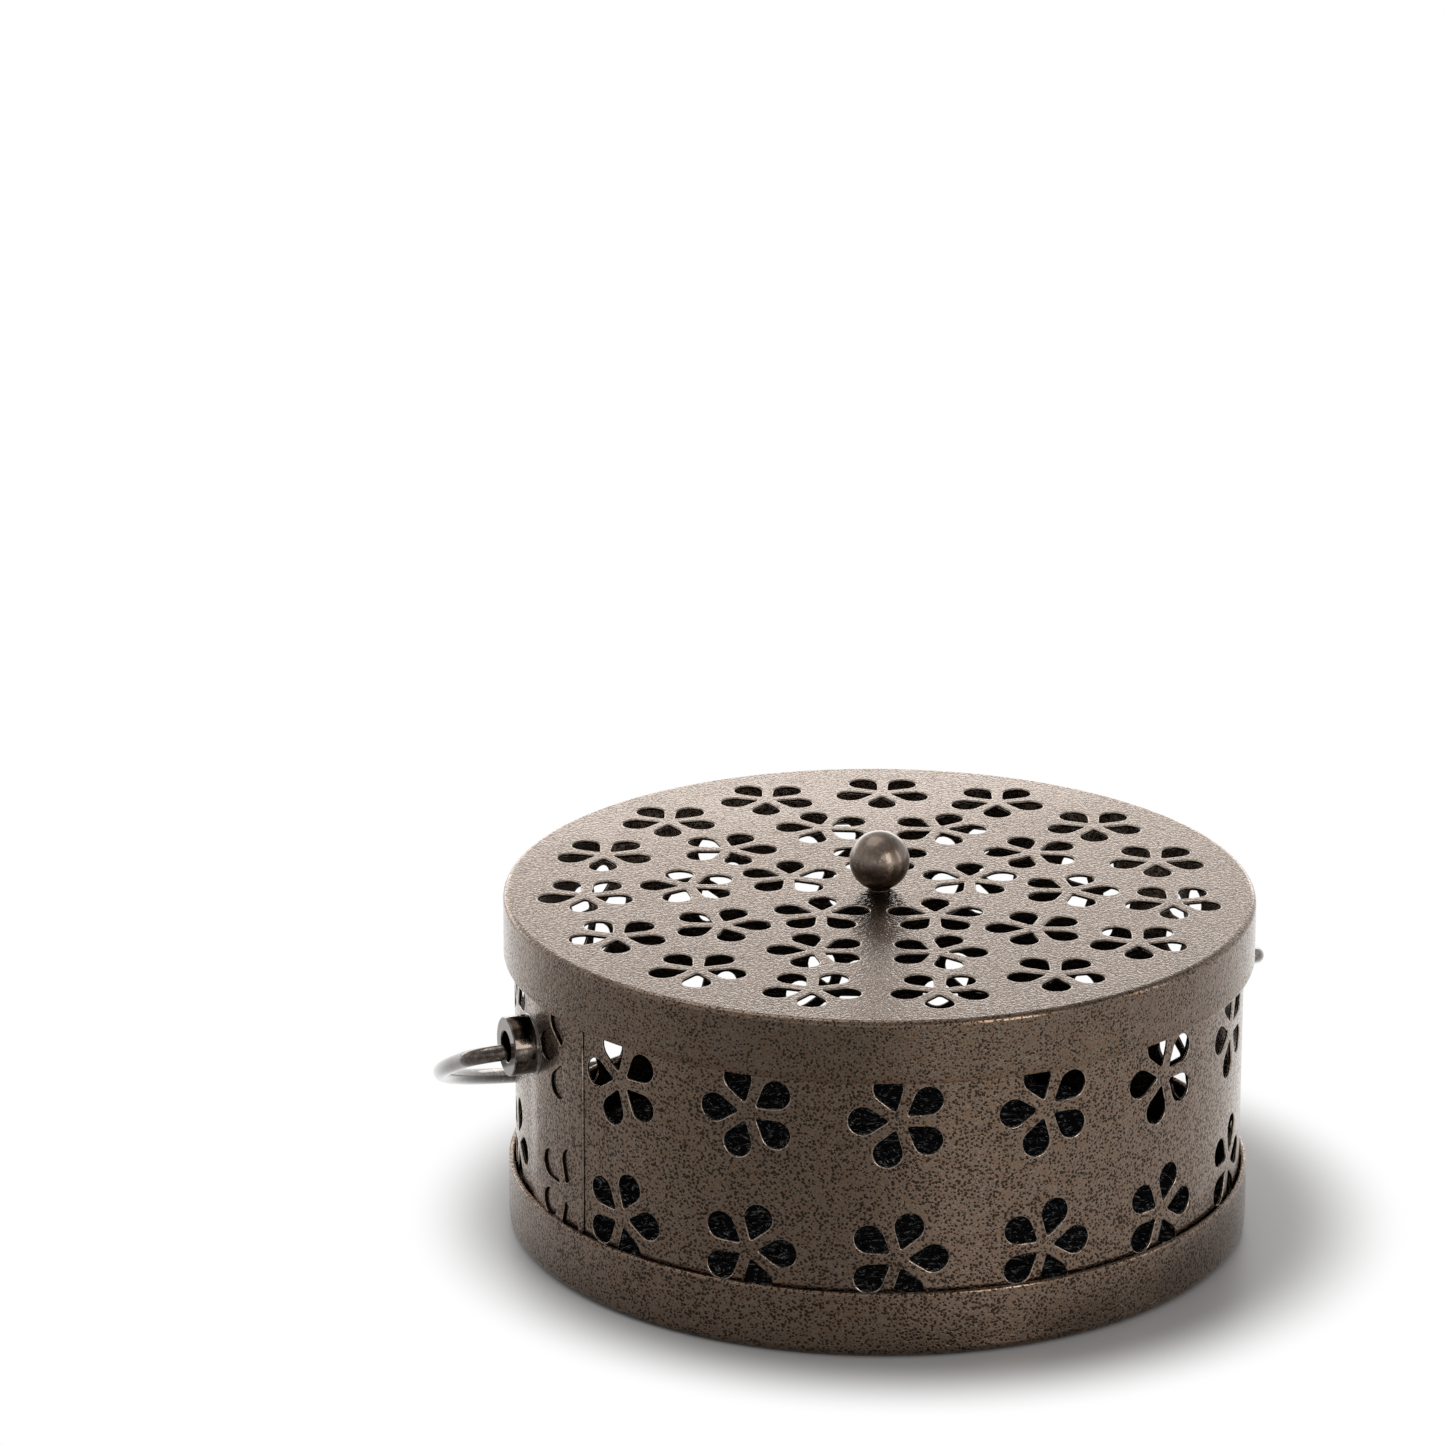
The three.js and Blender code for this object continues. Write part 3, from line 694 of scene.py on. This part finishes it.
class BURNER_OT_body_wall(bpy.types.Operator):
    """Strip pierced with two rows of flowers, rolled into a ring with lapped ends"""

    bl_idname = "burner.body_wall"
    bl_label = "Body wall"

    def execute(self, context):
        sizes = context.scene.burner_sizes
        radius, low, high = WALL_HIGH.y, WALL_LOW.z, WALL_HIGH.z
        lap, blend = sizes.lap / radius, sizes.lap_blend / radius
        width = radius * (TURN + lap)
        end_lift = 0.4  # Share of the lap's rise that its pressed end keeps

        def place(p):
            turn = p.x / radius
            climb = max(0.0, min(1.0, (turn - lap) / blend))
            pressed = max(0.0, min(1.0, p.x / sizes.lap_end))
            lift = LAP_RISE * (1 - climb * climb * (3 - 2 * climb))
            lift *= end_lift + (1 - end_lift) * math.sin(pressed * math.pi / 2)
            slope = -LAP_RISE * 6 * climb * (1 - climb) / blend
            heading = sizes.seam - turn
            out = Vector((math.cos(heading), math.sin(heading), 0))
            side = Vector((-math.sin(heading), math.cos(heading), 0))
            reach = radius + lift
            return out * reach + Vector((0, 0, p.y)), (out * reach + side * slope).normalized()

        holes = []
        for height, first_petal in ((sizes.lower_row, 0), (sizes.upper_row, math.pi)):
            for i in range(sizes.wall_flowers):
                heading = sizes.first_flower + i * sizes.wall_pitch / radius
                centre = Vector((((sizes.seam - heading) % TURN) * radius, height))
                holes += flower_loops(centre, first_petal, sizes, mirror=-1)
        room = sizes.edge * 4
        holes = [hole for hole in holes if all(room < p.x < width - room for p in hole(0))]
        grid = hex_grid(Vector((sizes.grid, low + sizes.grid / 2)), Vector((width, high)), sizes.grid)
        margin = sizes.grid / 3
        grid = [p for p in grid if p.x < width - margin and p.y < high - margin]
        # Closer points where the strip's outer end is pressed down
        rise, columns = sizes.grid / 2, 4
        heights = [low + rise * j for j in range(1, int((high - low) / rise))]
        for i in range(1, columns + 1):
            grid += [Vector((sizes.lap_end * i / columns, height)) for height in heights]
        inner = clear_of_petals(grid, holes, sizes.edge + sizes.roll + sizes.grid / 4)
        border = rectangle_loop(width, low, high, sizes.grid)
        piece = pierced_sheet("body_wall_fine", border, holes, inner, sizes.sheet, sizes.edge, place)
        dress(piece, "hammertone", "body", "hammertone", "body_wall")
        return {"FINISHED"}


class BURNER_OT_lid_shell(bpy.types.Operator):
    """Pressed disc with three rings of flowers and a plain skirt"""

    bl_idname = "burner.lid_shell"
    bl_label = "Lid shell"

    def execute(self, context):
        sizes = context.scene.burner_sizes
        outer, top, corner = LID_HIGH.y, LID_HIGH.z, sizes.lid_corner
        flat = outer - corner
        bend = corner * math.pi / 2
        skirt = LID_HIGH.z - LID_LOW.z - corner

        def place(p):
            reach = p.length
            out = Vector((p.x / reach, p.y / reach, 0)) if reach else Vector((1, 0, 0))
            up = Vector((0, 0, 1))
            if reach <= flat:
                return Vector((p.x, p.y, top)), up
            turn = min((reach - flat) / corner, math.pi / 2)
            normal = out * math.sin(turn) + up * math.cos(turn)
            drop = max(0.0, reach - flat - bend)
            return out * flat + up * (top - corner - drop) + normal * corner, normal

        hole_steps, bend_rows, skirt_rows = 24, 5, 6
        screw_hole = circle_loop(sizes.screw_hole, hole_steps, 1)
        petals = []
        # The outer ring's flowers all point one way, and those of the other two point outwards
        for number, radius, start, same_way in (
            (sizes.outer_flowers, sizes.outer_ring, 0, True),
            (sizes.middle_flowers, sizes.middle_ring, TURN / (2 * sizes.middle_flowers), False),
            (sizes.inner_flowers, sizes.inner_ring, 0, False),
        ):
            for i in range(number):
                heading = sizes.lid_turn + start + TURN * i / number
                centre = Vector((math.cos(heading), math.sin(heading))) * radius
                first_petal = sizes.lid_turn + math.pi if same_way else heading
                petals += flower_loops(centre, first_petal, sizes)
        grid = hex_grid(Vector((-flat, -flat)), Vector((flat, flat)), sizes.grid)
        grid = [p for p in grid if sizes.screw_hole + sizes.grid / 2 < p.length < flat - sizes.grid / 2]
        inner = clear_of_petals(grid, petals, sizes.lid_edge + sizes.roll + sizes.grid / 4)
        rings = [flat + bend * i / bend_rows for i in range(bend_rows + 1)]
        rings += [flat + bend + skirt * i / skirt_rows for i in range(1, skirt_rows)]
        turns = [TURN * i / ROUND_STEPS for i in range(ROUND_STEPS)]
        inner += [Vector((math.cos(turn), math.sin(turn))) * ring for ring in rings for turn in turns]
        border = circle_loop(flat + bend + skirt, ROUND_STEPS, -1)
        thickness, edge, holes = sizes.lid_sheet, sizes.lid_edge, [screw_hole, *petals]
        piece = pierced_sheet("lid_shell_fine", border, holes, inner, thickness, edge, place, border_wear_and_painted_light=0.0)
        dress(piece, "fine_hammertone", "lid", "hammertone", "lid_shell")
        return {"FINISHED"}


class BURNER_OT_knob(bpy.types.Operator):
    """Ball knob that stands on a small flat, with its screw and washer under the lid"""

    bl_idname = "burner.knob"
    bl_label = "Knob, screw and washer"

    def execute(self, context):
        base, top = KNOB_LOW.z, KNOB_HIGH.z
        radius, foot = context.scene.burner_sizes.knob, context.scene.burner_sizes.knob_foot
        centre = top - radius
        start = -math.degrees(math.acos(foot / radius))
        stations = [(0, base, 0, -1), (foot, base, 0, -1), (foot, base, 1, 0)]
        ball_steps = 40
        stations += round_stations((0, centre), radius, start, 90, ball_steps)
        stations[-1] = (0, top, 0, 1)
        knob = turned("lid_knob_fine", stations, FITTING_STEPS)
        dress(knob, "knob_bronze", "lid", "dark_bronze", "lid_knob")
        for node in ("knob_washer", "knob_screw"):
            frame["nodes"][node].data.materials.clear()
            frame["nodes"][node].data.materials.append(coats()["plated_steel"])
        return {"FINISHED"}


class BURNER_OT_bushes(bpy.types.Operator):
    """Two short tubes welded to the wall, with their weld beads"""

    bl_idname = "burner.bushes"
    bl_label = "Pivot bushes"

    def execute(self, context):
        sizes = context.scene.burner_sizes
        height = (BUSH_LOW.z + BUSH_HIGH.z) / 2
        seat, end, outer, bore = WALL_HIGH.y, BUSH_HIGH.x, sizes.bush_radius, sizes.bush_bore
        bead, chamfer = sizes.weld, sizes.bush_chamfer
        bead_steps, edge_steps = 6, 5
        stations = [(bore, seat, -1, 0), (outer + bead, seat, 1, 0)]
        hollow = (outer + bead, seat + bead + sizes.weld_height)
        stations += round_stations(hollow, bead, -90, -180, bead_steps, bulge=-1)
        stations += round_stations((outer - chamfer, end - chamfer), chamfer, 0, 90, edge_steps)
        stations += round_stations((bore + chamfer, end - chamfer), chamfer, 90, 180, edge_steps)
        for name, side in (("left_bush", -1), ("right_bush", 1)):
            piece = turned(f"{name}_fine", stations, FITTING_STEPS, closed=True)
            saddle(piece, seat, side)
            turn = Matrix.Rotation(side * math.pi / 2, 4, "Y")
            piece.data.transform(Matrix.Translation((0, 0, height)) @ turn)
            dress(piece, "dark_bronze", "body", "dark_bronze", name)
        return {"FINISHED"}


def saddle(piece, seat, side):
    """Lays the bush's inner end on the round wall, which is the lap on the left."""
    wall = seat + LAP_RISE if side < 0 else seat
    just_above = seat + 0.01 * MM
    for vertex in piece.data.vertices:
        if vertex.co.z < just_above:
            vertex.co.z = math.sqrt(wall**2 - vertex.co.y**2)


class BURNER_OT_bail(bpy.types.Operator):
    """One bent wire whose ends turn in the bushes"""

    bl_idname = "burner.bail"
    bl_label = "Bail handle"

    def execute(self, context):
        sizes = context.scene.burner_sizes
        side = BAIL_HIGH.x - sizes.wire
        bend = sizes.bail_bend
        away, down = BAIL_HIGH.y - sizes.wire - BAIL_PIVOT.y, BAIL_PIVOT.z - sizes.wire - BAIL_LOW.z
        fold, leg = math.atan2(down, away), math.hypot(away, down) - bend - side
        inner_end = WALL_HIGH.y + LAP_RISE + sizes.wire_gap
        bend_steps, arch_steps = 16, 160
        line = [(Vector((inner_end, 0)), 0.0), (Vector((side - bend, 0)), 0.0)]
        line += bend_stations(Vector((side - bend, bend)), bend, -90, 0, bend_steps)
        line += bend_stations(Vector((0, bend + leg)), side, 0, 180, arch_steps)
        line += bend_stations(Vector((bend - side, bend)), bend, 180, 270, bend_steps)
        line += [(Vector((-inner_end, 0)), 360.0)]
        piece = swept("bail_handle_fine", line, sizes.wire)
        lay = Matrix.Rotation(-math.pi / 2 - fold, 4, "X")
        piece.data.transform(Matrix.Translation(BAIL_PIVOT) @ lay)
        dress(piece, "dark_bronze", "bail", "dark_bronze", "bail_handle")
        return {"FINISHED"}


def bend_stations(centre, radius, start, end, steps):
    """Stations of a bend as (place in the plane, heading in degrees)."""
    stations = []
    for i in range(steps + 1):
        turn = start + (end - start) * i / steps
        where = centre + Vector((math.cos(math.radians(turn)), math.sin(math.radians(turn)))) * radius
        stations.append((where, turn + 90))
    return stations


def swept(name, line, radius, sides=24, cap=4, dome=0.3):
    """Round wire along stations in the XZ plane, with slightly domed ends."""
    ends = []
    for sign, (where, heading) in ((-1, line[0]), (1, line[-1])):
        ahead = Vector((math.cos(math.radians(heading)), math.sin(math.radians(heading))))
        end = []
        for turn in [math.pi / 2 * i / cap for i in range(1, cap)]:
            tilt = sign * math.sin(turn)
            end.append((where + ahead * radius * dome * tilt, heading, math.cos(turn), tilt))
        ends.append(end)
    body = [(where, heading, 1.0, 0.0) for where, heading in line]
    stations = ends[0][::-1] + body + ends[1]
    verts, normals, faces = [], [], []
    for where, heading, size, tilt in stations:
        turn = math.radians(heading)
        ahead = Vector((math.cos(turn), 0, math.sin(turn)))
        up = Vector((-math.sin(turn), 0, math.cos(turn)))
        for i in range(sides):
            around = TURN * i / sides
            out = up * math.cos(around) + Vector((0, 1, 0)) * math.sin(around)
            verts.append(Vector((where.x, 0, where.y)) + out * radius * size)
            normals.append((out * size + ahead * tilt).normalized())
    for first in range(0, (len(stations) - 1) * sides, sides):
        for i in range(sides):
            j = (i + 1) % sides
            faces.append((first + i, first + j, first + sides + j, first + sides + i))
    faces.append(tuple(range(sides)))
    faces.append(tuple(len(verts) - sides + i for i in range(sides)))
    return finished_mesh(name, verts, faces, normals)


class BURNER_OT_fibre_mat(bpy.types.Operator):
    """Round pad covered in a plain weave of flat glass-fibre bundles"""

    bl_idname = "burner.fibre_mat"
    bl_label = "Fibre mat"

    def execute(self, context):
        sizes = context.scene.burner_sizes
        radius, low, high, edge = MAT_HIGH.y, MAT_LOW.z, MAT_HIGH.z, sizes.mat_edge
        pitch = sizes.roving + sizes.roving_gap
        thickness = sizes.roving_thickness
        wave = thickness * 0.55
        middle = high - thickness - wave
        number = int(radius / pitch)
        verts, faces, slots = [], [], []
        for across in (True, False):
            for i in range(-number, number + 1):
                far_side = abs(i * pitch) + sizes.roving / 2
                half = math.sqrt(max(0.0, (radius - edge) ** 2 - far_side**2))
                if half > pitch:
                    roving(verts, faces, slots, across, i, half, middle, wave, sizes)
        pad_top = middle - thickness
        edge_steps, pad_steps = 5, 96
        stations = [(0, low, 0, -1)]
        stations += round_stations((radius - edge, low + edge), edge, -90, 0, edge_steps)
        stations += round_stations((radius - edge, pad_top - edge), edge, 0, 90, edge_steps)
        stations += [(0, pad_top, 0, 1)]
        pad = turned("pad", stations, pad_steps)
        first = len(verts)
        verts += [vertex.co.copy() for vertex in pad.data.vertices]
        for polygon in pad.data.polygons:
            faces.append([first + corner for corner in polygon.vertices])
            slots.append(MAT_COATS.index("felt"))
        bpy.data.objects.remove(pad)
        piece = finished_mesh("fibre_mat_woven", verts, faces)
        for coat in MAT_COATS:
            piece.data.materials.append(coats()[coat])
        piece.data.polygons.foreach_set("material_index", slots)
        dress(piece, "felt", "body", "glass_fibre", "fibre_mat")
        return {"FINISHED"}


def roving(verts, faces, slots, across, number, half, middle, wave, sizes):
    """One flat bundle of the weave, over and under its neighbours, a little crooked and uneven."""
    pitch = sizes.roving + sizes.roving_gap
    slot = MAT_COATS.index("roving_across" if across else "roving_along")
    section = 10
    steps = max(8, round(2 * half / (pitch / 6)))
    sway, unevenness, ruffling = 0.5 * MM, 0.10, 0.12 * MM
    first = len(verts)
    for step in range(steps + 1):
        along = -half + 2 * half * step / steps
        phase = math.cos(math.pi * along / pitch + (math.pi if number % 2 else 0)) * (1 if across else -1)
        seed = Vector((along / (9 * MM), number * 1.7, 0.0 if across else 9.0))
        middle_line = number * pitch + noise.noise(seed) * sway
        wide = sizes.roving / 2 * (1 + unevenness * noise.noise(seed * 2.3 + Vector((5, 0, 0))))
        for i in range(section):
            around = TURN * i / section
            flat = math.copysign(abs(math.cos(around)) ** 0.6, math.cos(around)) * wide
            lift = math.copysign(abs(math.sin(around)) ** 0.8, math.sin(around)) * sizes.roving_thickness / 2
            ruffle = noise.noise(Vector((along / (2.5 * MM), flat / (1.2 * MM), number * 3.1))) * ruffling
            height = middle + phase * wave + lift + (ruffle if lift > 0 else 0)
            sideways = middle_line + flat
            verts.append(Vector((along, sideways, height) if across else (sideways, along, height)))
    for start in range(first, first + steps * section, section):
        for i in range(section):
            j = (i + 1) % section
            faces.append((start + i, start + j, start + section + j, start + section + i))
            slots.append(slot)
    for end in (first, first + steps * section):
        faces.append([end + i for i in range(section)])
        slots.append(slot)


class BURNER_OT_studio(bpy.types.Operator):
    """Camera, soft lamps, pale floor and the light of the room"""

    bl_idname = "burner.studio"
    bl_label = "Studio"

    def execute(self, context):
        scene, studio = context.scene, context.scene.burner_studio
        scene.view_settings.view_transform = "Standard"
        camera = bpy.data.objects.new("camera", bpy.data.cameras.new("camera"))
        scene.collection.objects.link(camera)
        camera.location = studio.camera_place
        camera.rotation_euler = (studio.camera_tilt, 0, studio.camera_heading)
        camera.data.sensor_width = SENSOR_MM
        camera.data.lens = studio.lens
        scene.camera = camera
        add_floor(studio)
        add_world(scene, studio)
        add_lamp("back_lamp", (0.10, 0.78, 0.19), 0.07, (1.3, 0.28), studio.back_power)
        add_lamp("top_lamp", (-0.2, 0.35, 1.15), 0.04, (0.8, 0.8), studio.top_power)
        add_lamp("side_lamp", (1.05, -0.5, 0.35), 0.04, (0.16, 0.9), studio.side_power)
        add_lamp("front_lamp", (0.36, -1.14, 0.56), 0.04, (0.4, 0.8), studio.front_power)
        return {"FINISHED"}


def add_lamp(name, place, aim_height, size, energy):
    """A rectangular soft lamp that shines on the burner's axis at a height."""
    data = bpy.data.lights.new(name, "AREA")
    data.shape = "RECTANGLE"
    data.size, data.size_y = size
    data.energy = energy
    data.color = LAMP_WHITE
    lamp = bpy.data.objects.new(name, data)
    bpy.context.scene.collection.objects.link(lamp)
    lamp.location = place
    aim = Vector((0, 0, aim_height)) - Vector(place)
    lamp.rotation_euler = aim.to_track_quat("-Z", "Y").to_euler()


def add_floor(studio):
    """Table that takes the burner's cast shadow near it, where its grey adds painted shadow, and is plain
    white to sight further off.

    To gloss it shines dimmer towards two sides, which gives the round metal its darker and lighter bands.
    """
    reach = 6.0
    mesh = bpy.data.meshes.new("floor")
    corners = [(-reach, -reach, 0), (reach, -reach, 0), (reach, reach, 0), (-reach, reach, 0)]
    mesh.from_pydata(corners, [], [(0, 1, 2, 3)])
    floor = bpy.data.objects.new("floor", mesh)
    bpy.context.scene.collection.objects.link(floor)
    n = Nodes(bpy.data.materials.new("pale_floor"))
    # Its grey colour, seen only near the burner, is painted shadow added to the cast shadow
    n.set(Base_Color=(FLOOR_GREY, FLOOR_GREY, FLOOR_GREY, 1), Roughness=0.4)
    place = n.place()
    away = n.vector("DISTANCE", place, [part / MM for part in studio.shadow_centre], "Value")
    far_off = n.ramp(away, studio.shadow_reach / MM, studio.white_from / MM)
    path = n.add("ShaderNodeLightPath").outputs
    seen = n.math("MAXIMUM", path["Is Camera Ray"], path["Is Glossy Ray"])
    seen = n.math("MAXIMUM", seen, path["Is Transmission Ray"])
    outwards = n.add("ShaderNodeVectorMath", {0: place}, operation="NORMALIZE").outputs[0]
    strength = 1.0
    for side, amount, starts in (
        (studio.dim_side, studio.dim_share, 0.74),
        (studio.grey_side, studio.grey_share, 0.8),
    ):
        facing = n.vector("DOT_PRODUCT", outwards, Vector(side).normalized(), "Value")
        dimmed = n.times(n.ramp(facing, starts, 0.99), path["Is Glossy Ray"])
        strength = n.minus(strength, n.times(dimmed, amount))
    white = n.add("ShaderNodeEmission", {"Color": (1, 1, 1, 1), "Strength": strength}).outputs[0]
    mixed = n.add("ShaderNodeMixShader", {0: n.times(seen, far_off), 1: n.shader.outputs[0], 2: white})
    n.feed(n.tree.nodes["Material Output"].inputs["Surface"], mixed.outputs[0])
    mesh.materials.append(n.owner)


def add_world(scene, studio):
    """Light from all round, brighter on one side.

    To sight and to glass it is a white backdrop, and to gloss too, up to the backdrop's top.
    """
    scene.world = bpy.data.worlds.new("studio_light")
    n = Nodes(scene.world, shader="Background")
    heading = n.add("ShaderNodeTexCoord").outputs["Generated"]
    side = n.vector("DOT_PRODUCT", heading, Vector(studio.bright_side).normalized(), "Value")
    room = n.ramp(side, -0.7, 0.9, studio.dim_light, studio.bright_light)
    height = n.add("ShaderNodeSeparateXYZ", {0: heading}).outputs["Z"]
    backdrop = n.ramp(height, 0.3, 0.65, 1.0, 0.0)
    path = n.add("ShaderNodeLightPath").outputs
    seen = n.math("MAXIMUM", path["Is Camera Ray"], path["Is Transmission Ray"])
    seen = n.math("MAXIMUM", seen, n.times(path["Is Glossy Ray"], backdrop))
    strength = n.add("ShaderNodeMix", {"Factor": seen, "A": room, "B": 1.0}).outputs["Result"]
    n.set(Color=(1, 1, 1, 1), Strength=strength)


class BURNER_PT_panel(bpy.types.Panel):
    """Buttons and settings of the burner"""

    bl_idname = "BURNER_PT_panel"
    bl_label = "Incense coil burner"
    bl_space_type = "VIEW_3D"
    bl_region_type = "UI"
    bl_category = "Burner"

    def draw(self, context):
        for operator in OPERATORS:
            self.layout.operator(operator.bl_idname)
        for name in GROUPS:
            box = self.layout.box()
            settings = getattr(context.scene, name)
            for key in settings.bl_rna.properties.keys():
                if key not in ("rna_type", "name"):
                    box.prop(settings, key)


OPERATORS = (
    BURNER_OT_studio,
    BURNER_OT_base_pan,
    BURNER_OT_body_wall,
    BURNER_OT_lid_shell,
    BURNER_OT_knob,
    BURNER_OT_bushes,
    BURNER_OT_bail,
    BURNER_OT_fibre_mat,
)
GROUPS = {"burner_sizes": BurnerSizes, "burner_finish": BurnerFinish, "burner_studio": StudioSettings}


def register():
    for cls in (*GROUPS.values(), *OPERATORS, BURNER_PT_panel):
        bpy.utils.register_class(cls)
    for name, cls in GROUPS.items():
        setattr(bpy.types.Scene, name, bpy.props.PointerProperty(type=cls))


def unregister():
    for name in GROUPS:
        delattr(bpy.types.Scene, name)
    for cls in reversed((*GROUPS.values(), *OPERATORS, BURNER_PT_panel)):
        bpy.utils.unregister_class(cls)


def main():
    register()
    for operator in OPERATORS:
        group, name = operator.bl_idname.split(".")
        getattr(getattr(bpy.ops, group), name)()


if __name__ == "__main__":
    main()
